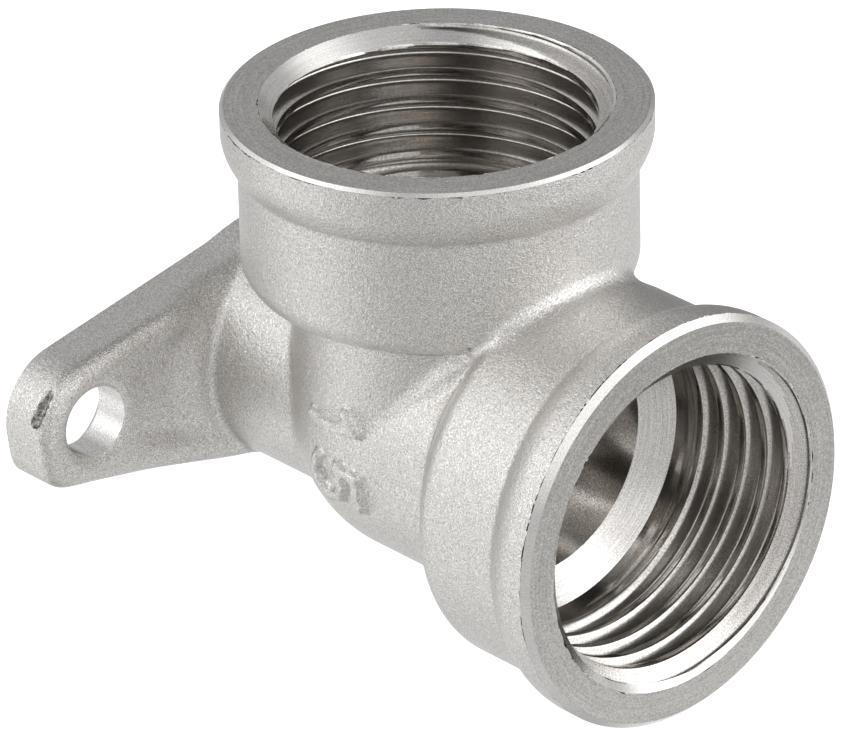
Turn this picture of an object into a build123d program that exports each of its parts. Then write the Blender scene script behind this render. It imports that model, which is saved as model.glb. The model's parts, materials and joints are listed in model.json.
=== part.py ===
from build123d import *
from math import acos, degrees, hypot, isclose, radians, sqrt, tan
import os

# Wall plate elbow, in millimetres.
# The origin is the centre of the wall face, on the axis of the front socket.
# The front socket faces -Y, the top socket faces +Z, and the wall is at y = 0.

# Crossing of the two socket axes
wall_distance = 17.0

# Sockets, measured outward from the crossing along each axis
socket_reach = 20.6
collar_radius = 12.85
collar_length = 2.7
collar_rounding = 3.0
collar_ramp_length = 1.15
collar_ramp_foot_rounding = 0.5
barrel_radius = 11.9
top_shoulder = 9.8
top_shoulder_slope = 1.5
top_shoulder_rounding = 1.0
front_shoulder = 10.6
front_shoulder_slope = 2.7
front_shoulder_rounding = 0.45
rim_rounding = 0.45

# Neck, with its rounded outer corner and its filled inner corner
neck_radius = 9.0
neck_web_radius = 4.0
neck_web_end_gap = 0.4
barrel_web_radius = 1.1

# Waterway, drilled from each socket past the crossing
waterway_radius = 7.5
drill_overrun = 1.5
drill_tip_angle = 118.0

# Tapping bore of each socket, with its lead-in chamfer
bore_radius = 9.5
bore_depth = 10.4
bore_tip_angle = 118.0
lead_radius = 10.55
lead_depth = 0.95

# Boss behind the neck
boss_radius = 7.3
boss_fillet = 0.4
boss_tolerance = 0.01

# Wall plate with its two screw ears
ear_hole_spacing = 32.0
ear_tip_radius = 4.1
ear_root_radius = 7.1
ear_thickness = 3.7
ear_root_thickness = 4.5
ear_flat_start = 12.8
ear_swell_end = 4.0
ear_edge_rounding = 0.9
screw_hole_radius = 2.3
screw_hole_lead = 0.25

crossing = (0, -wall_distance, 0)
up = (0, 0, 1)
forward = (0, -1, 0)

# Planes across the legs, facing outward
top_leg = Plane(origin=crossing, z_dir=up)
front_leg = Plane(origin=crossing, z_dir=forward)

# Planes that hold the half sections, with y along the leg's axis
top_section = Plane(origin=crossing, x_dir=(1, 0, 0), z_dir=forward)
front_section = Plane(origin=crossing, x_dir=(1, 0, 0), z_dir=(0, 0, -1))


def socket_profile(plane, shoulder, shoulder_slope, shoulder_rounding):
    """Half section of one socket: sloping shoulder, barrel, ramp and collar."""
    cone_tip = shoulder - shoulder_slope * barrel_radius / (barrel_radius - neck_radius)
    ramp_end = socket_reach - collar_length
    ramp_start = ramp_end - collar_ramp_length
    with BuildSketch(plane) as profile:
        with BuildLine():
            FilletPolyline(
                (0, cone_tip),
                (barrel_radius, shoulder),
                (barrel_radius, ramp_start),
                (collar_radius, ramp_end),
                (collar_radius, socket_reach),
                (0, socket_reach),
                radius=[
                    0,
                    shoulder_rounding,
                    collar_ramp_foot_rounding,
                    collar_rounding,
                    rim_rounding,
                    0,
                ],
                close=True,
            )
        make_face()
    return profile.sketch


def bore_profile(plane):
    """Half section of the space inside one leg: drilled waterway, tapping bore and lead-in."""
    tip_length = waterway_radius / tan(radians(drill_tip_angle / 2))
    bore_end = socket_reach - bore_depth
    cone_end = bore_end - (bore_radius - waterway_radius) / tan(radians(bore_tip_angle / 2))
    with BuildSketch(plane) as profile:
        with BuildLine():
            Polyline(
                (0, -drill_overrun - tip_length),
                (waterway_radius, -drill_overrun),
                (waterway_radius, cone_end),
                (bore_radius, bore_end),
                (bore_radius, socket_reach - lead_depth),
                (lead_radius, socket_reach),
                (0, socket_reach),
                close=True,
            )
        make_face()
    return profile.sketch


def filled_corner(leg_radius, web_radius, half_width, start):
    """The inner corner between two equal legs, filled to a radius, from a distance beyond the crossing."""
    reach = leg_radius + 2 * web_radius
    with BuildPart() as corner:
        for leg in (top_leg, front_leg):
            with BuildSketch(leg):
                Circle(leg_radius)
            extrude(amount=reach)
        with BuildSketch(Plane(origin=crossing, x_dir=forward, z_dir=(-1, 0, 0))):
            with Locations((start, start)):
                Rectangle(reach, reach, align=(Align.MIN, Align.MIN))
        extrude(amount=half_width, both=True, mode=Mode.INTERSECT)
        fillet(corner.edges().filter_by(GeomType.ELLIPSE), radius=web_radius)
    return corner.part


web_end = sqrt(barrel_radius**2 - max(top_shoulder, front_shoulder) ** 2)
neck_corner = filled_corner(neck_radius, neck_web_radius, neck_radius - neck_web_end_gap, 0)
barrel_corner = filled_corner(barrel_radius, barrel_web_radius, web_end, min(top_shoulder, front_shoulder))

with BuildPart() as wall_plate:
    # Front view: a round tip and half of the round root, joined by straight tapered edges
    tip_x = ear_hole_spacing / 2
    edge_angle = degrees(acos((ear_root_radius - ear_tip_radius) / tip_x))
    with BuildSketch(Plane.XZ):
        with BuildLine():
            upper_root = CenterArc((0, 0), ear_root_radius, edge_angle, 90 - edge_angle)
            tip = CenterArc((tip_x, 0), ear_tip_radius, -edge_angle, 2 * edge_angle)
            lower_root = CenterArc((0, 0), ear_root_radius, -90, 90 - edge_angle)
            Line(upper_root @ 0, tip @ 1)
            Line(lower_root @ 1, tip @ 0)
            mirror(about=Plane.YZ)
        make_face()
    extrude(amount=ear_root_thickness)
    # Top view: flat ears that thicken in a soft double curve towards the boss
    span = tip_x + ear_tip_radius
    swell_middle = (ear_flat_start + ear_swell_end) / 2
    with BuildSketch(Plane.XY):
        with BuildLine():
            Polyline((0, 0), (span, 0), (span, -ear_thickness), (ear_flat_start, -ear_thickness))
            swell = Bezier(
                (ear_flat_start, -ear_thickness),
                (swell_middle, -ear_thickness),
                (swell_middle, -ear_root_thickness),
                (ear_swell_end, -ear_root_thickness),
            )
            Line(swell @ 1, (0, -ear_root_thickness))
            mirror(about=Plane.YZ)
        make_face()
    extrude(amount=ear_root_radius, both=True, mode=Mode.INTERSECT)
    # Rounded front edges, all along the ears
    wall_edges = wall_plate.edges().group_by(Axis.Y)[-1]
    cross_edges = wall_plate.edges().filter_by(Axis.Y) + wall_plate.edges().filter_by(Axis.Z)
    fillet(wall_plate.edges() - wall_edges - cross_edges, radius=ear_edge_rounding)

with BuildPart() as elbow_body:
    # Neck: two legs with a filled inner corner and a round outer corner
    for leg, shoulder in ((top_leg, top_shoulder), (front_leg, front_shoulder)):
        with BuildSketch(leg):
            Circle(neck_radius)
        extrude(amount=shoulder)
    add(neck_corner)
    with Locations(crossing):
        Sphere(neck_radius)

    # Sockets, with the web between their barrels
    revolve(
        socket_profile(top_section, top_shoulder, top_shoulder_slope, top_shoulder_rounding),
        axis=Axis(crossing, up),
    )
    revolve(
        socket_profile(front_section, front_shoulder, front_shoulder_slope, front_shoulder_rounding),
        axis=Axis(crossing, forward),
    )
    add(barrel_corner)

    # Boss and wall plate
    with BuildSketch(Plane.XZ):
        Circle(boss_radius)
    extrude(amount=wall_distance)
    boss_edges = elbow_body.edges(Select.LAST).filter_by(
        lambda edge: isclose(hypot((edge @ 0.5).X, (edge @ 0.5).Z), boss_radius, abs_tol=boss_tolerance)
    )
    fillet(boss_edges.filter_by(GeomType.LINE, reverse=True).sort_by(Axis.Y)[:2], radius=boss_fillet)
    add(wall_plate.part)

    # Waterways, tapping bores and lead-in chamfers
    revolve(bore_profile(top_section), axis=Axis(crossing, up), mode=Mode.SUBTRACT)
    revolve(bore_profile(front_section), axis=Axis(crossing, forward), mode=Mode.SUBTRACT)

    # Screw holes through the ears, with a small lead-in
    with BuildSketch(Plane.XZ):
        with Locations((-tip_x, 0), (tip_x, 0)):
            Circle(screw_hole_radius)
    extrude(amount=ear_thickness, mode=Mode.SUBTRACT)
    hole_rims = elbow_body.edges().filter_by(GeomType.CIRCLE).filter_by(
        lambda edge: edge.radius == screw_hole_radius and edge.center().Y < -ear_thickness / 2
    )
    chamfer(hole_rims, length=screw_hole_lead)

elbow_body.part.label = "elbow_body"

os.makedirs("parts", exist_ok=True)
export_step(elbow_body.part, "parts/elbow_body.step")
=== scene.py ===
import json
from math import atan2, cos, radians, sin, tan, tau

import bmesh
import bpy
import numpy as np
from mathutils import Matrix, Vector


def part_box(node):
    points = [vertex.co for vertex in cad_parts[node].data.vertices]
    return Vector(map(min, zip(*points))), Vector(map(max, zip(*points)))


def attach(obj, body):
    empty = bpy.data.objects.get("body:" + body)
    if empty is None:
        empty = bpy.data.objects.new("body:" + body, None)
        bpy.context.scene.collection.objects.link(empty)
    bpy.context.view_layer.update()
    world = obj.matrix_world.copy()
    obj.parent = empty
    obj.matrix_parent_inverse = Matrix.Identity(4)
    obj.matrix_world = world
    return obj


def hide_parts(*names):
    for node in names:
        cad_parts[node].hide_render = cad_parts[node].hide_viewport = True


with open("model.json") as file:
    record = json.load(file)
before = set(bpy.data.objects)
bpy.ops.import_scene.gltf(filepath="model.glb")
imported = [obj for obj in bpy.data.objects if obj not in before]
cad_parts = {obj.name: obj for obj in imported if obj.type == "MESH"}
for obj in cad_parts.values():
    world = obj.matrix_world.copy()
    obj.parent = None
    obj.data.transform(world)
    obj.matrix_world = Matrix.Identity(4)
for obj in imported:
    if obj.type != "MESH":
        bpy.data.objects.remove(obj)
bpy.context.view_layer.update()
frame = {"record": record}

# Shapes below are worked out in millimetres, in the same frame as the CAD
MM = 0.001
mounts = {mount["name"]: mount for mount in frame["record"]["mounts"]}
elbow_low, elbow_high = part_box("elbow_body")

# Sizes that the frame gives
wall_distance = -mounts["top_socket"]["pos_m"][1] / MM
socket_reach = elbow_high.z / MM
collar_radius = -elbow_low.z / MM
bore_radius = mounts["top_socket"]["dims"]["r_mm"]
ear_hole_spacing = mounts["screw_holes"]["dims"]["spacing_x_mm"]
screw_hole_radius = mounts["screw_holes"]["dims"]["hole_r_mm"]
ear_tip_radius = elbow_high.x / MM - ear_hole_spacing / 2
crossing = np.array((0.0, -wall_distance, 0.0))

# Forged body
neck_radius = 9.0
neck_web_radius, neck_web_least = 4.0, 0.01
barrel_radius = 11.9
barrel_web_radius = 1.1
top_shoulder, top_shoulder_slope = 9.8, 1.5
front_shoulder, front_shoulder_slope = 10.6, 2.7
top_shoulder_rounding, front_shoulder_rounding = 1.0, 0.45
shoulder_root = 0.15
ramp_foot, ramp_end, ramp_foot_rounding = 16.75, 19.0, 0.35
boss_radius, boss_fillet = 7.3, 0.35

# Wall plate
ear_root_radius = 7.1
ear_thickness, ear_root_thickness = 3.7, 4.5
ear_flat_start, ear_swell_end = 12.8, 4.0
ear_edge_rounding, tip_edge_rounding = 0.9, 1.5
tip_rounding_start, tip_rounding_full = 13.0, 17.5
upper_start, upper_full = -1.0, 1.5
tip_bulge, tip_bulge_angle, tip_bulge_width = 0.52, radians(-44.0), radians(20.0)
tip_bulge_edge = -0.35
tip_bulge_start, tip_bulge_full = 14.5, 17.0
ear_root = 0.35
ear_fall, ear_fall_width = 1.4, 5.0
ear_fall_start, ear_fall_end = 10.5, 6.3
dish_depth = 0.35
dish_rim_low, dish_rim_high = 1.3, 2.8
dish_start, dish_start_edge = 14.5, 4.0
dish_end, dish_end_edge = 8.0, 2.2

# Raised number on the left of the neck, in a frame that reads downwards with its top to the front
mark_start, mark_foot = 3.9, -1.7
mark_height, mark_width, mark_gap = 3.8, 2.7, 1.3
mark_stroke, mark_edge, mark_rise = 0.22, 0.3, 0.5
mark_side_start, mark_side_full = -5.0, -7.0
# Corners of the strokes of each numeral, as shares of its width and height
mark_strokes = (
    ((0.2, 0.78), (0.55, 1.0), (0.55, 0.0)),
    (
        (0.95, 1.0), (0.2, 1.0), (0.1, 0.58), (0.5, 0.66), (0.85, 0.55),
        (0.95, 0.32), (0.8, 0.1), (0.45, 0.0), (0.05, 0.1),
    ),
)

# Machined ends
collar_cut = socket_reach - 0.9
face_allowance = 0.5
top_bevel, front_bevel = 0.2, 0.4
burr_width, burr_depth = 0.07, 0.09
burr_least, burr_most = 0.05, 1.5
outer_burr_lift = 0.5
outer_burr_seed, inner_burr_seed = 3, 5
burr_waves, burr_spread = 60, 1.5
lead_radius = 10.55
lead_depth = 0.95
lip_margin = 0.2
waterway_radius = 7.5
bore_depth = 10.4
bore_end = socket_reach - bore_depth
drill_overrun = 1.5
drill_half_angle = radians(59.0)
drill_slope = tan(drill_half_angle)
ring_slope = tan(radians(31.0))
ring_depth = (bore_radius - waterway_radius) * ring_slope
screw_lead_width, screw_lead_depth = 0.5, 0.25
screw_exit_width, screw_exit_depth = 1.0, 1.1
screw_run_on = 1.0

# Pipe thread, 14 turns to the inch
pitch = 1.814
thread_major = 10.48
thread_pitch_radius = 9.8965
thread_half_angle = radians(27.5)
thread_flank = tan(thread_half_angle)
thread_root_arc = 0.249
thread_arc_reach = thread_root_arc * cos(thread_half_angle)
thread_crest_softness, thread_near_softness = 0.035, 0.015
thread_full_end, thread_run_out = 13.2, 11.2
crest_reach = 0.05

# Small dark nicks in the forging: start, end and radius
nicks = (
    ((-18.8, -2.85, 2.8), (-19.35, -2.75, 2.1), 0.2),
    ((-19.35, -2.75, 2.1), (-19.85, -2.5, 1.0), 0.3),
    ((-6.75, -26.55, 9.75), (-6.6, -26.65, 9.8), 0.22),
    ((-6.5, -4.5, 4.3), (-6.3, -4.5, 4.6), 0.18),
)
# How far outside and inside each nick's radius its near-black darkening reaches
nick_dark_outside, nick_dark_inside = 0.15, 0.1

# Fineness of the meshes
skin_step = 0.22
waterway_step = 0.25
settle_rounds, least_slope = 3, 0.05
segments = 288
hole_segments = 96
root_points, flank_points = 8, 7
face_points, ring_points = 7, 12
cut_distance, weld_distance = 0.0001, 0.002
end_sharp_angle, skin_sharp_angle = radians(32), radians(40)

# Kinds of surface at a machined end, in the order of its materials
FORGED, FACE, FLANK, RING, BURR, CHAMFER, CREST = range(7)

# Grain of the metal: sizes and depths in millimetres, and how a pattern is spread over colours
grain_size, pebble_size, ripple_size = 0.08, 0.26, 0.9
grain_depth, pebble_depth, ripple_depth = 0.04, 0.045, 0.03
pit_roughness, top_roughness = 0.4, 0.22
pit_colour, top_colour = (0.48, 0.462, 0.44), (1.0, 0.982, 0.957)
# Near-black colour on and round the nicks, and where the pattern spreads into it
nick_dark_colour = (0.05, 0.045, 0.04)
nick_dark_middle, nick_dark_reach = 1.15, 0.25
ring_arc = 4.0
ring_reach = 0.16
burr_grain_size, burr_grain_depth = 0.3, 0.04
burr_middle, burr_reach = 0.53, 0.03
# Dark burr colour: painted shadow in the groove along a machined edge; bright burr colour: the white torn
# metal
burr_painted_shadow, burr_bright = (0.05, 0.046, 0.042), (0.97, 0.96, 0.94)

# Stage
floor_reach, floor_wall_height = 1.6, 3.2
floor_glow = 0.7


def smooth_step(low, high, value):
    share = np.clip((value - low) / (high - low), 0, 1)
    return share * share * (3 - 2 * share)


def round_union(a, b, radius):
    """Joins two solids, with a fillet of that radius between them."""
    fillet = np.hypot(np.maximum(radius - a, 0), np.maximum(radius - b, 0))
    return np.maximum(radius, np.minimum(a, b)) - fillet


def round_common(a, b, radius):
    """The space that two solids share, with its edge rounded to that radius."""
    edge = np.hypot(np.maximum(radius + a, 0), np.maximum(radius + b, 0))
    return np.minimum(-radius, np.maximum(a, b)) + edge


def tapered_capsule(x, z, root_radius, tip_radius, length):
    """Distance to a round root and a round tip joined by straight edges."""
    lean = (root_radius - tip_radius) / length
    slope = np.sqrt(1 - lean * lean)
    across = np.abs(z)
    run = x * slope - across * lean
    edge = x * lean + across * slope - root_radius
    root = np.hypot(x, across) - root_radius
    tip = np.hypot(x - length, across) - tip_radius
    return np.where(run < 0, root, np.where(run > length * slope, tip, edge))


def socket(along, around, shoulder, shoulder_slope, rounding):
    """Barrel, ramp and collar round one leg, with a sloping shoulder behind them."""
    share = np.clip((along - ramp_foot) / (ramp_end - ramp_foot), 0, 1)
    soften = smooth_step(ramp_foot - ramp_foot_rounding, ramp_foot + ramp_foot_rounding, along)
    ramp = (1 - (1 - share) ** 2) * soften
    wall = around - barrel_radius - (collar_radius - barrel_radius) * ramp
    shoulder_width = barrel_radius - neck_radius
    lean = atan2(shoulder_slope, shoulder_width)
    back = shoulder - shoulder_slope * (barrel_radius - around) / shoulder_width
    return round_common(wall, (back - along) * cos(lean), rounding)


def wall_plate(x, y, z):
    """Two flat ears with a shallow recess, which swell towards the boss."""
    side = np.abs(x)
    outline = tapered_capsule(side, z, ear_root_radius, ear_tip_radius, ear_hole_spacing / 2)
    turn = np.arctan2(z, side - ear_hole_spacing / 2)
    bulge = tip_bulge * np.exp(-(((turn - tip_bulge_angle) / tip_bulge_width) ** 2))
    bulge = bulge * smooth_step(0.0, tip_bulge_edge, turn)
    outline = outline - bulge * smooth_step(tip_bulge_start, tip_bulge_full, side)
    swell = smooth_step(ear_flat_start, ear_swell_end, side)
    thickness = ear_thickness + (ear_root_thickness - ear_thickness) * swell
    inset = np.maximum(-outline, 0)
    upper_half = smooth_step(upper_start, upper_full, z)
    upper_root = smooth_step(ear_fall_start, ear_fall_end, side) * upper_half
    fall = ear_fall * upper_root * np.maximum(1 - inset / ear_fall_width, 0) ** 2
    dish = smooth_step(dish_rim_low, dish_rim_high, inset)
    dish = dish * smooth_step(dish_start, dish_start - dish_start_edge, side)
    dish = dish * smooth_step(dish_end, dish_end + dish_end_edge, np.hypot(x, z))
    face = thickness - fall - dish_depth * dish
    upper_tip = smooth_step(tip_rounding_start, tip_rounding_full, side) * upper_half
    rounding = ear_edge_rounding + (tip_edge_rounding - ear_edge_rounding) * upper_tip
    return round_common(outline, -y - face, rounding)


def mark_distance(across, up):
    """Distance to the nearest stroke of the raised number."""
    nearest = np.full(np.broadcast(across, up).shape, np.inf)
    for place, stroke in enumerate(mark_strokes):
        shift = place * (mark_width + mark_gap)
        ends = [(shift + a * mark_width, b * mark_height) for a, b in stroke]
        for (ax, ay), (bx, by) in zip(ends, ends[1:]):
            run, rise = bx - ax, by - ay
            share = ((across - ax) * run + (up - ay) * rise) / (run * run + rise * rise)
            share = np.clip(share, 0, 1)
            reach = np.hypot(across - ax - share * run, up - ay - share * rise)
            nearest = np.minimum(nearest, reach)
    return nearest


def segment_distance(x, y, z, start, end):
    """Distance to a straight line between two places."""
    line = np.subtract(end, start)
    x, y, z = x - start[0], y - start[1], z - start[2]
    share = np.clip((x * line[0] + y * line[1] + z * line[2]) / (line @ line), 0, 1)
    across = [value - share * part for value, part in zip((x, y, z), line)]
    return np.sqrt(across[0] ** 2 + across[1] ** 2 + across[2] ** 2)


def forged_body(x, y, z):
    """The forged outside: negative within, zero on the skin, and a little past the faces that cut it."""
    out = -y - wall_distance
    top_around = np.hypot(x, out)
    front_around = np.hypot(x, z)
    top_neck = np.hypot(top_around, np.minimum(z, 0)) - neck_radius
    front_neck = np.hypot(front_around, np.minimum(out, 0)) - neck_radius
    inner = np.clip(np.minimum(z, out) / neck_radius, 0, 1)
    web = neck_web_least + neck_web_radius * inner**3
    neck = round_union(top_neck, front_neck, web)
    boss = np.maximum(np.hypot(x, z) - boss_radius, out)
    body = round_union(neck, boss, boss_fillet)
    reach = mark_distance(mark_start - z, out - mark_foot)
    rise = mark_rise * smooth_step(mark_stroke + mark_edge, mark_stroke, reach)
    body = body - rise * smooth_step(mark_side_start, mark_side_full, x)
    top = socket(z, top_around, top_shoulder, top_shoulder_slope, top_shoulder_rounding)
    front = socket(out, front_around, front_shoulder, front_shoulder_slope, front_shoulder_rounding)
    sockets = round_union(top, front, barrel_web_radius)
    body = round_union(body, sockets, shoulder_root)
    body = round_union(body, wall_plate(x, y, z), ear_root)
    for start, end, radius in nicks:
        body = np.maximum(body, radius - segment_distance(x, y, z, start, end))
    ends = np.maximum(np.maximum(z, out) - socket_reach, y) - face_allowance
    return np.maximum(body, ends)


def drilled(along, around):
    """Solid of one drilled waterway, from its socket to the drill's point past the crossing."""
    point = around - (along + drill_overrun) * drill_slope - waterway_radius
    return np.maximum(around - waterway_radius, point * cos(drill_half_angle))


def waterway(x, y, z):
    """The space of both drilled holes: negative within."""
    out = -y - wall_distance
    return np.minimum(drilled(z, np.hypot(x, out)), drilled(out, np.hypot(x, z)))


def surface_net(field, low, high, step):
    """Points and quads of the field's zero level, one point in each grid cell that it crosses."""
    low = np.array(low, float)
    axes = [np.arange(a, b + step, step) for a, b in zip(low, high)]
    values = field(*np.meshgrid(*axes, indexing="ij", sparse=True))
    values = np.broadcast_to(values, [len(axis) for axis in axes])
    inside = values < 0
    shape = values.shape
    strides = np.array((shape[1] * shape[2], shape[2], 1))
    size = shape[0] * strides[0]
    totals = np.zeros((3, size))
    counts = np.zeros(size)
    quads = []
    for axis in range(3):
        near = [slice(None)] * 3
        far = [slice(None)] * 3
        near[axis], far[axis] = slice(0, -1), slice(1, None)
        u, v = (axis + 1) % 3, (axis + 2) % 3
        crossed = inside[tuple(near)] != inside[tuple(far)]
        cells = np.argwhere(crossed)
        start = values[tuple(near)][crossed]
        end = values[tuple(far)][crossed]
        place = cells.astype(float)
        place[:, axis] += start / (start - end)
        index = cells @ strides
        steps = (0, strides[u], strides[u] + strides[v], strides[v])
        corners = np.stack([index - step_back for step_back in steps], 1)
        outward = inside[tuple(near)][crossed]
        corners[~outward] = corners[~outward][:, ::-1]
        quads.append(corners)
        for corner in corners.T:
            counts += np.bincount(corner, minlength=size)
            for k in range(3):
                totals[k] += np.bincount(corner, place[:, k], minlength=size)
    quads = np.concatenate(quads)
    used = np.flatnonzero(counts)
    number = np.zeros(size, int)
    number[used] = np.arange(len(used))
    points = low + step * (totals[:, used] / counts[used]).T
    return points, number[quads]


def slope_at(field, points, reach=0.02):
    """Gradient of the field at each point."""
    slope = np.empty_like(points)
    for k in range(3):
        shift = np.zeros(3)
        shift[k] = reach
        slope[:, k] = (field(*(points + shift).T) - field(*(points - shift).T)) / (2 * reach)
    return slope


def settle(field, points, furthest):
    """Moves each point onto the field's zero level, by no more than the given distance."""
    for _ in range(settle_rounds):
        slope = slope_at(field, points)
        move = slope * (field(*points.T) / np.maximum((slope**2).sum(1), least_slope))[:, None]
        length = np.maximum(np.linalg.norm(move, axis=1, keepdims=True), 1e-9)
        points = points - move * np.minimum(1, furthest / length)
    return points


def new_object(name, points, faces, materials, face_material=None):
    """A mesh object in the scene, from points in metres and the number of each face's material."""
    mesh = bpy.data.meshes.new(name)
    mesh.from_pydata(points, [], faces)
    for material in materials:
        mesh.materials.append(material)
    if face_material is not None:
        mesh.polygons.foreach_set("material_index", face_material)
    thing = bpy.data.objects.new(name, mesh)
    bpy.context.scene.collection.objects.link(thing)
    return thing


def make_piece(name, points, faces, materials, face_material=None):
    """A smooth piece from points in millimetres, riding on the body."""
    places = (np.asarray(points) * MM).tolist()
    piece = new_object(name, places, np.asarray(faces).tolist(), materials, face_material)
    piece.data.shade_smooth()
    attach(piece, "root")
    return piece


def vertex_places(piece):
    """The piece's points in millimetres."""
    places = np.empty(3 * len(piece.data.vertices))
    piece.data.vertices.foreach_get("co", places)
    return places.reshape(-1, 3) / MM


def cut_away(piece, place, direction, closed=False):
    """Cuts off what lies beyond a plane, given in millimetres, and closes the cut if asked to."""
    build = bmesh.new()
    build.from_mesh(piece.data)
    geometry = build.verts[:] + build.edges[:] + build.faces[:]
    cut = bmesh.ops.bisect_plane(
        build,
        geom=geometry,
        dist=cut_distance * MM,
        plane_co=Vector(place) * MM,
        plane_no=direction,
        clear_outer=True,
    )
    if closed:
        rim = [entry for entry in cut["geom_cut"] if isinstance(entry, bmesh.types.BMEdge)]
        bmesh.ops.triangle_fill(build, edges=rim, normal=direction, use_beauty=True)
    build.to_mesh(piece.data)
    build.free()


def weld(piece):
    """Joins points that lie together, and marks the edges that stay crisp."""
    build = bmesh.new()
    build.from_mesh(piece.data)
    bmesh.ops.remove_doubles(build, verts=build.verts[:], dist=weld_distance * MM)
    build.to_mesh(piece.data)
    build.free()
    piece.data.shade_smooth()
    piece.data.set_sharp_from_angle(angle=end_sharp_angle)


def principled(name, colour, roughness):
    """A new metal: the material, its node tree and its shader."""
    material = bpy.data.materials.new(name)
    material.use_nodes = True
    shader = material.node_tree.nodes["Principled BSDF"]
    shader.inputs["Base Color"].default_value = (*colour, 1)
    shader.inputs["Metallic"].default_value = 1
    shader.inputs["Roughness"].default_value = roughness
    return material, material.node_tree, shader


def add_node(tree, kind, operation, *values):
    """A new node with that operation, its inputs fed in order with links or plain values."""
    node = tree.nodes.new("ShaderNode" + kind)
    if operation is not None:
        node.operation = operation
    for entry, value in zip(node.inputs, values):
        if isinstance(value, bpy.types.NodeSocket):
            tree.links.new(value, entry)
        else:
            entry.default_value = value
    return node


def object_place(tree):
    """Pattern coordinates in metres, fixed to the piece."""
    return add_node(tree, "TexCoord", None).outputs["Object"]


def noise(tree, coordinates, scale, detail=2.0):
    node = add_node(tree, "TexNoise", None, coordinates)
    node.inputs["Scale"].default_value = scale
    node.inputs["Detail"].default_value = detail
    return node.outputs["Fac"]


def ring_coordinates(tree, groove):
    """Pattern coordinates drawn out into rings round local Z, each as wide as the groove in millimetres."""
    split = add_node(tree, "SeparateXYZ", None, object_place(tree)).outputs
    flat = add_node(tree, "CombineXYZ", None, split["X"], split["Y"]).outputs["Vector"]
    around = add_node(tree, "VectorMath", "LENGTH", flat).outputs["Value"]
    facing = add_node(tree, "VectorMath", "NORMALIZE", flat).outputs["Vector"]
    step = add_node(tree, "Math", "ADD", around, split["Z"]).outputs["Value"]
    turned = add_node(tree, "SeparateXYZ", None, facing).outputs
    drawn = add_node(tree, "CombineXYZ", None, step, turned["X"], turned["Y"]).outputs["Vector"]
    scale = (1 / (groove * MM), bore_radius / ring_arc, bore_radius / ring_arc)
    return add_node(tree, "VectorMath", "MULTIPLY", drawn, scale).outputs["Vector"]


def spread(tree, value, low, high, middle=0.5, reach=0.2):
    """Turns a pattern's middle range into values from low to high."""
    ends = (middle - reach, middle + reach, low, high)
    return add_node(tree, "MapRange", None, value, *ends).outputs["Result"]


def bump(tree, height, distance, normal=None):
    """A normal bumped by a height, to a depth in millimetres, on top of another bump if one is given."""
    node = tree.nodes.new("ShaderNodeBump")
    node.inputs["Distance"].default_value = distance * MM
    tree.links.new(height, node.inputs["Height"])
    if normal is not None:
        tree.links.new(normal, node.inputs["Normal"])
    return node.outputs["Normal"]


def shaded(tree, share, dark, bright):
    """Colour between two, by a share from 0 to 1. Either colour may be a link."""
    node = tree.nodes.new("ShaderNodeMix")
    node.data_type = "RGBA"
    tree.links.new(share, node.inputs["Factor"])
    for end, colour in zip(("A", "B"), (dark, bright)):
        entry = [entry for entry in node.inputs if entry.name == end and entry.type == "RGBA"][0]
        if isinstance(colour, tuple):
            entry.default_value = (*colour, 1)
        else:
            tree.links.new(colour, entry)
    return [entry for entry in node.outputs if entry.type == "RGBA"][0]


def forged_metal():
    """Blasted and plated forging: satin, with a fine grain whose pits are darker, and near-black darkening on
    and round the nicks.
    """
    material, tree, shader = principled("forged_plating", (0.68, 0.66, 0.635), 0.32)
    place = object_place(tree)
    grain = noise(tree, place, 1 / (grain_size * MM), 1)
    pebble = noise(tree, place, 1 / (pebble_size * MM), 2)
    ripple = noise(tree, place, 1 / (ripple_size * MM))
    tree.links.new(spread(tree, grain, pit_roughness, top_roughness), shader.inputs["Roughness"])
    colour = shaded(tree, spread(tree, grain, 0, 1), pit_colour, top_colour)
    # Near-black darkening on and round the nicks, broken up by the pebble pattern
    nick_dark = add_node(tree, "Attribute", None)
    nick_dark.attribute_name = "nick_dark"
    broken = add_node(tree, "Math", "ADD", nick_dark.outputs["Fac"], pebble).outputs["Value"]
    share = spread(tree, broken, 0, 1, nick_dark_middle, nick_dark_reach)
    tree.links.new(shaded(tree, share, colour, nick_dark_colour), shader.inputs["Base Color"])
    normal = bump(tree, grain, grain_depth)
    normal = bump(tree, pebble, pebble_depth, normal)
    normal = bump(tree, ripple, ripple_depth, normal)
    tree.links.new(normal, shader.inputs["Normal"])
    return material


def turned_metal(name, dark, bright, roughness, groove, depth, ring_share, painted_light_slope=0.0):
    """Plated metal with a fine grain and the rings that a tool leaves, with painted light that makes it paler
    towards local -Y if asked to.
    """
    middle = tuple((a + b) / 2 for a, b in zip(dark, bright))
    material, tree, shader = principled(name, middle, roughness)
    place = object_place(tree)
    rings = noise(tree, ring_coordinates(tree, groove), 1.0, 3)
    grain = noise(tree, place, 1 / (grain_size * MM), 1)
    part = add_node(tree, "Math", "MULTIPLY", rings, ring_share).outputs["Value"]
    mixed = add_node(tree, "Math", "MULTIPLY_ADD", grain, 1 - ring_share, part).outputs["Value"]
    # Painted light: the colour grows paler towards local -Y, by the given amount per millimetre
    side = add_node(tree, "SeparateXYZ", None, place).outputs["Y"]
    painted_light_share = add_node(tree, "Math", "MULTIPLY_ADD", side, -painted_light_slope / MM, mixed).outputs["Value"]
    share = spread(tree, painted_light_share, 0, 1, reach=ring_reach)
    tree.links.new(shaded(tree, share, dark, bright), shader.inputs["Base Color"])
    tree.links.new(bump(tree, mixed, depth), shader.inputs["Normal"])
    return material


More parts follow.
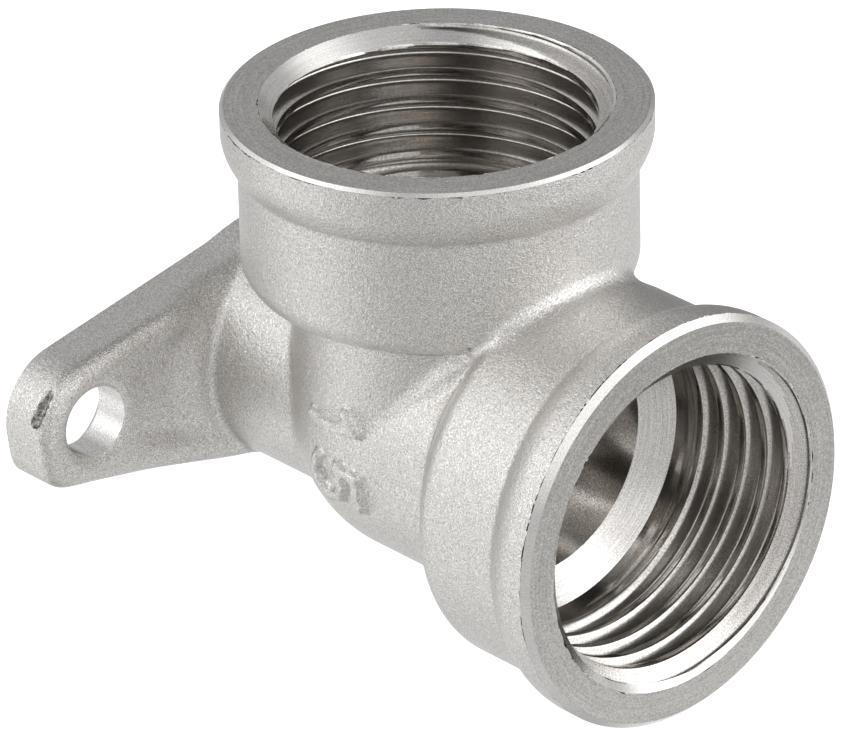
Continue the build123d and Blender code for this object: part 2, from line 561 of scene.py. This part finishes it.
def burr_shadow_metal():
    """Torn metal along a machined edge, rough, in dark and white patches: the near-black patches are painted
    shadow in the groove along the burr, the white ones bright torn metal.
    """
    material, tree, shader = principled("burr_shadow", (0.1, 0.095, 0.09), 0.5)
    grain = noise(tree, object_place(tree), 1 / (burr_grain_size * MM), 2)
    share = spread(tree, grain, 0, 1, burr_middle, burr_reach)
    tree.links.new(shaded(tree, share, burr_painted_shadow, burr_bright), shader.inputs["Base Color"])
    tree.links.new(bump(tree, grain, burr_grain_depth), shader.inputs["Normal"])
    return material


# Camera at the photograph's viewing angle
camera_azimuth, camera_elevation, camera_roll = radians(-42.086), radians(27.504), radians(-1.465)
camera_distance = 463.81
aim_right, aim_up = -1.252, 2.321
photo_width_px = 847
focal_px = 7720.17
sensor_width = 36.0
clip_near, clip_far = 0.01, 20.0


def make_camera():
    """The scene's camera, aimed past the crossing by the given steps to the right and up."""
    back = Vector((
        sin(camera_azimuth) * cos(camera_elevation),
        -cos(camera_azimuth) * cos(camera_elevation),
        sin(camera_elevation),
    ))
    level_right = Vector((cos(camera_azimuth), sin(camera_azimuth), 0))
    level_up = back.cross(level_right)
    right = cos(camera_roll) * level_right + sin(camera_roll) * level_up
    up = cos(camera_roll) * level_up - sin(camera_roll) * level_right
    aim = Vector(crossing) + right * aim_right + up * aim_up
    camera = bpy.data.objects.new("camera", bpy.data.cameras.new("camera"))
    camera.data.lens = sensor_width * focal_px / photo_width_px
    camera.data.sensor_width = sensor_width
    camera.data.clip_start, camera.data.clip_end = clip_near, clip_far
    turn = Matrix((right, up, back)).transposed().to_4x4()
    camera.matrix_world = Matrix.Translation((aim + back * camera_distance) * MM) @ turn
    bpy.context.scene.collection.objects.link(camera)
    bpy.context.scene.camera = camera


def thread_radius(offset):
    """Radius of the thread's groove, by the distance along the axis from the groove's middle."""
    flank = thread_pitch_radius + (pitch / 4 - np.abs(offset)) / thread_flank
    softness = np.where(offset > 0, thread_crest_softness, thread_near_softness)
    arc_centre = thread_major - thread_root_arc
    arc = arc_centre + np.sqrt(np.maximum(thread_root_arc**2 - offset**2, 0))
    cut = np.where(np.abs(offset) < thread_arc_reach, arc, flank) - bore_radius
    return bore_radius + (cut + np.hypot(cut, 2 * softness)) / 2


def thread_rows(angles):
    """Points of a tapped bore, row by row down the thread, and which are on the lead-in or on a crest."""
    half_groove = pitch / 4 + (thread_pitch_radius - bore_radius) * thread_flank
    offsets = np.concatenate((
        np.linspace(-thread_arc_reach, thread_arc_reach, root_points),
        np.linspace(thread_arc_reach, half_groove, flank_points)[1:],
        np.linspace(half_groove, pitch - half_groove, flank_points)[1:],
        np.linspace(pitch - half_groove, pitch - thread_arc_reach, flank_points)[1:-1],
    ))
    turns = int(bore_depth / pitch) + 2
    depths = (np.arange(turns)[:, None] * pitch + offsets[None, :] - offsets[0]).ravel()
    along = socket_reach - depths[:, None] + pitch * angles[None, :] / tau
    groove = (depths[:, None] + offsets[0] + pitch / 2) % pitch - pitch / 2
    along = np.clip(along, bore_end, socket_reach)
    cut = (thread_radius(groove) - bore_radius) * smooth_step(thread_run_out, thread_full_end, along)
    lead = lead_radius - (socket_reach - along) * (lead_radius - bore_radius) / lead_depth
    around = np.maximum(bore_radius + cut, lead)
    points = np.stack((around * np.cos(angles), around * np.sin(angles), along), -1)
    on_lead = (lead >= bore_radius + cut).ravel()
    on_crest = (cut < crest_reach).ravel()
    return points, len(offsets), on_lead, on_crest


def strip_faces(rows, turn_shift):
    """Quads between the rows of points round an axis. A full turn leads to the row turn_shift before."""
    faces = []
    for row in range(rows - 1):
        for column in range(segments):
            after = column + 1
            upper, lower = row, row + 1
            if after == segments:
                after = 0
                upper, lower = max(row - turn_shift, 0), max(row + 1 - turn_shift, 0)
            faces.append((
                upper * segments + after,
                lower * segments + after,
                (row + 1) * segments + column,
                row * segments + column,
            ))
    return faces


def ragged(angles, seed):
    """An uneven line round an axis, mostly between -1 and 1, that closes on itself."""
    draw = np.random.default_rng(seed)
    counts = np.arange(1, burr_waves + 1)
    sizes, starts = draw.normal(size=burr_waves), draw.uniform(0, tau, burr_waves)
    line = (sizes[:, None] * np.cos(counts[:, None] * angles + starts[:, None])).sum(0)
    return line / (burr_spread * line.std())


def turned_profiles(angles, bevel_size):
    """Profiles of the turned surfaces of one end, as heights and radii, each with its kind."""
    edge = socket_reach - bevel_size
    face_radius = collar_radius - bevel_size
    outer_line = outer_burr_lift + ragged(angles, outer_burr_seed)
    outer_burr = burr_width * np.clip(outer_line, burr_least, burr_most)
    inner_line = ragged(angles, inner_burr_seed)
    inner_burr = burr_width * np.clip(inner_line, burr_least, burr_most)
    rim = [(edge - outer_burr, collar_radius), (edge - outer_burr / 2, collar_radius - burr_depth)]
    bevel = [(edge, collar_radius), (socket_reach, face_radius)]
    face = [(socket_reach, r) for r in np.linspace(face_radius, lead_radius + lip_margin, face_points)]
    face.append((socket_reach, lead_radius + inner_burr))
    lip = [
        face[-1],
        (socket_reach - inner_burr, lead_radius + inner_burr / 2),
        (socket_reach, lead_radius),
    ]
    ring = [
        (bore_end - ring_depth * share, bore_radius + (waterway_radius - bore_radius) * share)
        for share in np.linspace(0, 1, ring_points)
    ]
    return (
        ([(collar_cut, collar_radius), rim[0]], FORGED),
        # The grooves along the rim and the lip take the burr material, whose dark patches are painted shadow
        (rim + bevel[:1], BURR),
        (bevel, CHAMFER),
        (face, FACE),
        (lip, BURR),
        (ring, RING),
    )


def socket_end(name, leg, bevel_size, materials):
    """Collar, machined face, lead-in, thread, plain bore and the ring round the waterway, for one leg."""
    angles = tau * np.arange(segments) / segments
    points, faces, kinds = [], [], []

    def add_strips(places, turn_shift=0):
        """Adds rows of points with the quads between them, and returns those quads by their own count."""
        base = len(points)
        points.extend(places.reshape(-1, 3).tolist())
        added = strip_faces(len(places), turn_shift)
        faces.extend(tuple(base + corner for corner in quad) for quad in added)
        return added

    for profile, kind in turned_profiles(angles, bevel_size):
        rings = []
        for height, radius in profile:
            high, wide = (np.broadcast_to(size, segments) for size in (height, radius))
            rings.append(np.stack((wide * np.cos(angles), wide * np.sin(angles), high), -1))
        kinds += [kind] * len(add_strips(np.array(rings)))
    places, per_turn, on_lead, on_crest = thread_rows(angles)
    for quad in add_strips(places, per_turn):
        corners = list(quad)
        kinds.append(CHAMFER if on_lead[corners].all() else CREST if on_crest[corners].all() else FLANK)

    piece = make_piece(name, points, faces, materials, kinds)
    weld(piece)
    turn = Matrix(leg).transposed().to_4x4()
    piece.matrix_world = Matrix.Translation(Vector(crossing) * MM) @ turn


def make_drill(place, profile, materials, walls):
    """A closed cutter turned about a line along Y, from its (y, radius) profile and each wall's material."""
    angles = tau * np.arange(hole_segments) / hole_segments
    points = [(place + r * cos(a), y, r * sin(a)) for y, r in profile for a in angles]
    rows = len(profile)
    faces = [
        (
            row * hole_segments + column,
            row * hole_segments + (column + 1) % hole_segments,
            (row + 1) * hole_segments + (column + 1) % hole_segments,
            (row + 1) * hole_segments + column,
        )
        for row in range(rows - 1)
        for column in range(hole_segments)
    ]
    first = range(hole_segments)
    faces += [tuple(reversed(first)), tuple((rows - 1) * hole_segments + column for column in first)]
    kinds = [wall for wall in walls for _ in range(hole_segments)] + [walls[0], walls[-1]]
    return new_object("drill", (np.array(points) * MM).tolist(), faces, materials, kinds)


def cut_with(piece, cutter):
    """Takes the cutter's space out of the piece, and removes the cutter."""
    modifier = piece.modifiers.new("cut", "BOOLEAN")
    modifier.operation = "DIFFERENCE"
    modifier.solver = "MANIFOLD"
    modifier.object = cutter
    result = bpy.data.meshes.new_from_object(piece.evaluated_get(bpy.context.evaluated_depsgraph_get()))
    piece.modifiers.clear()
    piece.data = result
    bpy.data.objects.remove(cutter)


def make_skin(materials):
    """The forged outside, open at both machined ends and drilled for the screws."""
    margin = 4 * skin_step
    low = (-elbow_high.x / MM - margin, elbow_low.y / MM - margin, elbow_low.z / MM - margin)
    high = (elbow_high.x / MM + margin, margin, elbow_high.z / MM + margin)
    points, quads = surface_net(forged_body, low, high, skin_step)
    points = settle(forged_body, points, skin_step)
    skin = make_piece("forged_skin", points, quads, materials)
    lead_growth = screw_lead_width / screw_lead_depth
    exit_growth = screw_exit_width / screw_exit_depth
    screw_profile = [
        (screw_run_on, screw_hole_radius + screw_exit_width + screw_run_on * exit_growth),
        (-screw_exit_depth, screw_hole_radius),
        (screw_lead_depth - ear_thickness, screw_hole_radius),
        (-ear_thickness - screw_run_on, screw_hole_radius + screw_lead_width + screw_run_on * lead_growth),
    ]
    for side in (-1, 1):
        cut_with(skin, make_drill(side * ear_hole_spacing / 2, screw_profile, materials, (0, 1, 0)))
    cut_away(skin, crossing + np.array((0, 0, collar_cut)), (0, 0, 1))
    cut_away(skin, crossing - np.array((0, collar_cut, 0)), (0, -1, 0))
    cut_away(skin, (0, 0, 0), (0, 1, 0), closed=True)
    skin.data.shade_smooth()
    skin.data.set_sharp_from_angle(angle=skin_sharp_angle)
    x, y, z = vertex_places(skin).T
    # Share of near-black darkening on and round each nick, kept on the points
    nick_dark = np.zeros(len(x))
    for start, end, radius in nicks:
        reach = segment_distance(x, y, z, start, end)
        nick_dark = np.maximum(nick_dark, smooth_step(radius + nick_dark_outside, radius - nick_dark_inside, reach))
    skin.data.attributes.new("nick_dark", "FLOAT", "POINT").data.foreach_set("value", nick_dark)
    return skin


def make_waterway(material):
    """The two drilled holes where they cross, between the rings of the two sockets."""
    ring_height = bore_end - ring_depth
    drill_end = drill_overrun + waterway_radius / drill_slope + 2 * waterway_step
    side = waterway_radius + 2 * waterway_step
    margin = 2 * waterway_step
    low = (-side, -wall_distance - ring_height - margin, -max(side, drill_end))
    high = (side, -wall_distance + max(side, drill_end), ring_height + margin)
    points, quads = surface_net(waterway, low, high, waterway_step)
    points = settle(waterway, points, waterway_step)
    water = make_piece("waterway", points, quads[:, ::-1], [material])
    cut_away(water, crossing + np.array((0, 0, ring_height)), (0, 0, 1))
    cut_away(water, crossing - np.array((0, ring_height, 0)), (0, -1, 0))
    slope = slope_at(waterway, vertex_places(water))
    inward = -slope / np.linalg.norm(slope, axis=1, keepdims=True)
    water.data.normals_split_custom_set_from_vertices(inward.tolist())


def make_floor():
    """A pale floor with pale walls far behind it."""
    foot = elbow_low.z
    reach = floor_reach
    corners = ((-reach, -reach), (reach, -reach), (reach, reach), (-reach, reach))
    points = [(x, y, z) for z in (foot, foot + floor_wall_height) for x, y in corners]
    walls = [(k, (k + 1) % 4, (k + 1) % 4 + 4, k + 4) for k in range(4)]
    material = bpy.data.materials.new("pale_floor")
    material.use_nodes = True
    shader = material.node_tree.nodes["Principled BSDF"]
    shader.inputs["Base Color"].default_value = (0.95, 0.95, 0.95, 1)
    shader.inputs["Roughness"].default_value = 0.9
    shader.inputs["Emission Color"].default_value = (1, 1, 1, 1)
    shader.inputs["Emission Strength"].default_value = floor_glow
    floor = new_object("floor", points, [(0, 1, 2, 3)] + walls, [material])
    floor.visible_glossy = False
    floor.visible_diffuse = False
    floor.visible_shadow = False


# Studio light: azimuth 0 is in front and 90 to the right. A strength below zero is a dark card.
room_light = 0.42
soft_lights = (
    (-108, 30, 42, 0.9),
    (-144, 30, 42, 0.45),
    (-128, -30, 45, 0.6),
    (42, 21, 40, 1.5),
    (-12, 38, 45, 0.65),
    (5, -30, 75, 0.24),
    (92, -30, 45, 0.35),
    (152, -40, 40, 0.35),
    (148, 38, 35, 0.08),
    (40, 83, 28, -0.42),
    (122, -4, 28, -0.25),
)


def make_studio():
    """A pale room with soft lights, each given by azimuth, elevation, half width in degrees and strength."""
    world = bpy.data.worlds.new("studio")
    world.use_nodes = True
    tree = world.node_tree
    direction = add_node(tree, "TexCoord", None).outputs["Generated"]
    total = room_light
    for azimuth, elevation, half_width, strength in soft_lights:
        a, e = radians(azimuth), radians(elevation)
        towards = (sin(a) * cos(e), -cos(a) * cos(e), sin(e))
        facing = add_node(tree, "VectorMath", "DOT_PRODUCT", direction, towards).outputs["Value"]
        light = add_node(tree, "MapRange", None, facing, cos(radians(half_width)), 1.0, 0.0, strength)
        light.interpolation_type = "SMOOTHSTEP"
        total = add_node(tree, "Math", "ADD", light.outputs["Result"], total).outputs["Value"]
    tree.links.new(total, tree.nodes["Background"].inputs["Strength"])
    tree.nodes["Background"].inputs["Color"].default_value = (1, 1, 1, 1)
    bpy.context.scene.world = world


make_camera()
forged = forged_metal()
# Dark and bright colour, roughness, width and depth of the grooves in millimetres, share of rings, and
# painted light: how much paler towards local -Y per millimetre
turned_looks = {
    "top_face_plating": ((0.38, 0.366, 0.35), (0.78, 0.762, 0.738), 0.3, 0.1, 0.006, 0.3),
    # The front face's painted light: its colour is paler towards local -Y, which is its bottom
    "front_face_plating": ((0.38, 0.366, 0.35), (0.78, 0.762, 0.738), 0.3, 0.1, 0.006, 0.3, 0.006),
    "thread_plating": ((0.42, 0.398, 0.374), (0.86, 0.833, 0.8), 0.2, 0.1, 0.002, 0.35),
    "crest_plating": ((0.38, 0.357, 0.332), (0.8, 0.77, 0.735), 0.13, 0.1, 0.002, 0.35),
    "chamfer_plating": ((0.74, 0.725, 0.705), (0.99, 0.975, 0.95), 0.22, 0.1, 0.003, 0.4),
    "bore_plating": ((0.5, 0.48, 0.46), (0.92, 0.9, 0.87), 0.2, 0.09, 0.003, 0.45),
    "drilled_plating": ((0.36, 0.343, 0.322), (0.76, 0.738, 0.71), 0.14, 0.12, 0.002, 0.0),
    "hole_plating": ((0.62, 0.605, 0.59), (0.97, 0.96, 0.94), 0.07, 0.1, 0.001, 0.0),
}
turned = {name: turned_metal(name, *look) for name, look in turned_looks.items()}
# Burr material: its near-black patches are painted shadow along the machined edges
shadowed_burr = burr_shadow_metal()

skin = make_skin([forged, turned["hole_plating"]])
make_waterway(turned["drilled_plating"])
# Each end with its leg's right, up and outward directions, and the size of its rim's bevel
ends = (
    ("top", ((1, 0, 0), (0, 1, 0), (0, 0, 1)), top_bevel),
    ("front", ((1, 0, 0), (0, 0, 1), (0, -1, 0)), front_bevel),
)
for end, leg, bevel_size in ends:
    looks = {
        FORGED: forged,
        FACE: turned[f"{end}_face_plating"],
        FLANK: turned["thread_plating"],
        RING: turned["bore_plating"],
        BURR: shadowed_burr,
        CHAMFER: turned["chamfer_plating"],
        CREST: turned["crest_plating"],
    }
    socket_end(f"{end}_end", leg, bevel_size, [looks[kind] for kind in sorted(looks)])
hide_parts("elbow_body")
make_floor()

make_studio()
bpy.context.scene.view_settings.view_transform = "Standard"
